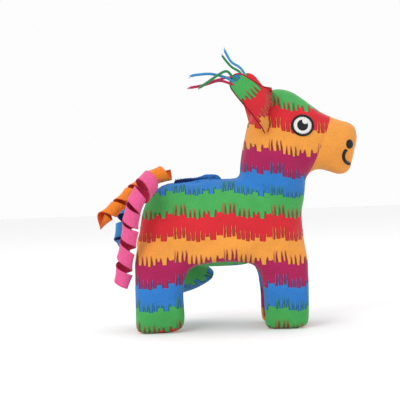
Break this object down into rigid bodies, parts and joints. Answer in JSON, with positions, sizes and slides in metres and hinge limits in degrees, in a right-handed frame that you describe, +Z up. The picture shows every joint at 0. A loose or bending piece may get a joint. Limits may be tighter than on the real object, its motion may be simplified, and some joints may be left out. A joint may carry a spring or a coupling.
{
  "type": "donkey pinata plush toy",
  "caption": "Small stuffed donkey pinata in fringed rainbow print, with curled ribbon tail, string-tipped ears and a back pocket.",
  "frame": {"origin": "centre of the bounding box on the floor under the soles", "axes": "+X towards the nose, +Y towards the animal's left side, +Z up"},
  "size_m": [0.1158, 0.0688, 0.1271],
  "materials": {
    "printed_fabric": "soft matt plush printed with fringed bands",
    "navy_lining": "matt woven lining",
    "hook_and_loop": "fuzzy hook-and-loop tape",
    "fill": "loose polyester fibre",
    "black_thread": "satin-stitched thread with a slight sheen",
    "white_thread": "satin-stitched thread with a slight sheen",
    "pink_ribbon": "ribbed grosgrain, soft sheen",
    "orange_ribbon": "ribbed grosgrain, soft sheen",
    "blue_ribbon": "ribbed grosgrain, soft sheen",
    "green_string": "twisted matt cotton string",
    "blue_string": "twisted matt cotton string",
    "crimson_string": "twisted matt cotton string"
  },
  "bodies": {
    "torso": {"right_side_panel": "printed_fabric", "right_belly_panel": "printed_fabric", "left_side_panel": "printed_fabric", "left_belly_panel": "printed_fabric", "head_stuffing": "fill", "body_stuffing": "fill", "pocket_lining": "navy_lining", "right_eye_ring": "black_thread", "right_eye_white": "white_thread", "right_pupil": "black_thread", "right_nostril": "black_thread", "right_smile": "black_thread", "left_eye_ring": "black_thread", "left_eye_white": "white_thread", "left_pupil": "black_thread", "left_nostril": "black_thread", "left_smile": "black_thread"},
    "right_front_leg": {"right_front_leg_outer": "printed_fabric", "right_front_leg_inner": "printed_fabric", "right_front_leg_stuffing": "fill"},
    "right_hind_leg": {"right_hind_leg_outer": "printed_fabric", "right_hind_leg_inner": "printed_fabric", "right_hind_leg_stuffing": "fill"},
    "left_front_leg": {"left_front_leg_outer": "printed_fabric", "left_front_leg_inner": "printed_fabric", "left_front_leg_stuffing": "fill"},
    "left_hind_leg": {"left_hind_leg_outer": "printed_fabric", "left_hind_leg_inner": "printed_fabric", "left_hind_leg_stuffing": "fill"},
    "right_ear": {"right_ear_front": "printed_fabric", "right_ear_back": "printed_fabric", "right_ear_green_string": "green_string", "right_ear_blue_string": "blue_string", "right_ear_crimson_string": "crimson_string"},
    "left_ear": {"left_ear_front": "printed_fabric", "left_ear_back": "printed_fabric", "left_ear_green_string": "green_string", "left_ear_blue_string": "blue_string", "left_ear_crimson_string": "crimson_string"},
    "right_lip": {"right_pocket_lip": "printed_fabric", "hook_strip": "hook_and_loop"},
    "left_lip": {"left_pocket_lip": "printed_fabric", "loop_strip": "hook_and_loop"},
    "pink_tail_ribbon": {"pink_ribbon": "pink_ribbon"},
    "orange_tail_ribbon": {"orange_ribbon": "orange_ribbon"},
    "blue_tail_ribbon": {"blue_ribbon": "blue_ribbon"}
  },
  "joints": [
    {"name": "right_front_leg_splay", "type": "hinge", "parent": "torso", "child": "right_front_leg", "pos_m": [-0.00352, -0.02275, 0.0292], "axis": [-1, 0, 0], "range_deg": [0, 45], "stiffness_Nm_per_rad": 0.02},
    {"name": "right_hind_leg_splay", "type": "hinge", "parent": "torso", "child": "right_hind_leg", "pos_m": [-0.00352, -0.02275, 0.0292], "axis": [-1, 0, 0], "range_deg": [0, 45], "stiffness_Nm_per_rad": 0.02},
    {"name": "left_front_leg_splay", "type": "hinge", "parent": "torso", "child": "left_front_leg", "pos_m": [-0.00352, 0.01805, 0.0292], "axis": [1, 0, 0], "range_deg": [0, 45], "stiffness_Nm_per_rad": 0.02},
    {"name": "left_hind_leg_splay", "type": "hinge", "parent": "torso", "child": "left_hind_leg", "pos_m": [-0.03052, 0.00365, 0.0292], "axis": [0.8988, -0.4384, 0], "range_deg": [-54, 0], "stiffness_Nm_per_rad": 0.02},
    {"name": "right_ear_fold", "type": "hinge", "parent": "torso", "child": "right_ear", "pos_m": [0.01878, -0.01795, 0.095], "axis": [0.1805, 0, 0.9836], "range_deg": [-18, 60], "stiffness_Nm_per_rad": 0.002},
    {"name": "left_ear_fold", "type": "hinge", "parent": "torso", "child": "left_ear", "pos_m": [0.01878, 0.01325, 0.095], "axis": [-0.5793, 0, -0.8151], "range_deg": [-18, 60], "stiffness_Nm_per_rad": 0.002},
    {"name": "pink_ribbon_swing", "type": "hinge", "parent": "torso", "child": "pink_tail_ribbon", "pos_m": [-0.03152, -0.00235, 0.066], "axis": [-0.1961, 0.9806, 0], "range_deg": [0, 55], "stiffness_Nm_per_rad": 0.002},
    {"name": "orange_ribbon_swing", "type": "hinge", "parent": "torso", "child": "orange_tail_ribbon", "pos_m": [-0.02552, -0.00235, 0.066], "axis": [0, 1, 0], "range_deg": [-8, 42], "stiffness_Nm_per_rad": 0.002},
    {"name": "blue_ribbon_swing", "type": "hinge", "parent": "torso", "child": "blue_tail_ribbon", "pos_m": [-0.03152, -0.00235, 0.066], "axis": [0, 1, 0], "range_deg": [-2, 55], "stiffness_Nm_per_rad": 0.002},
    {"name": "right_lip_slide", "type": "slide", "parent": "torso", "child": "right_lip", "axis": [0, 1, 0], "range_m": [-0.0014, 0.00225]},
    {"name": "left_lip_slide", "type": "slide", "parent": "torso", "child": "left_lip", "axis": [0, -1, 0], "range_m": [-0.0014, 0.00225]}
  ],
  "couplings": [
    {"joint": "left_lip_slide", "follows": "right_lip_slide", "ratio": 1}
  ]
}
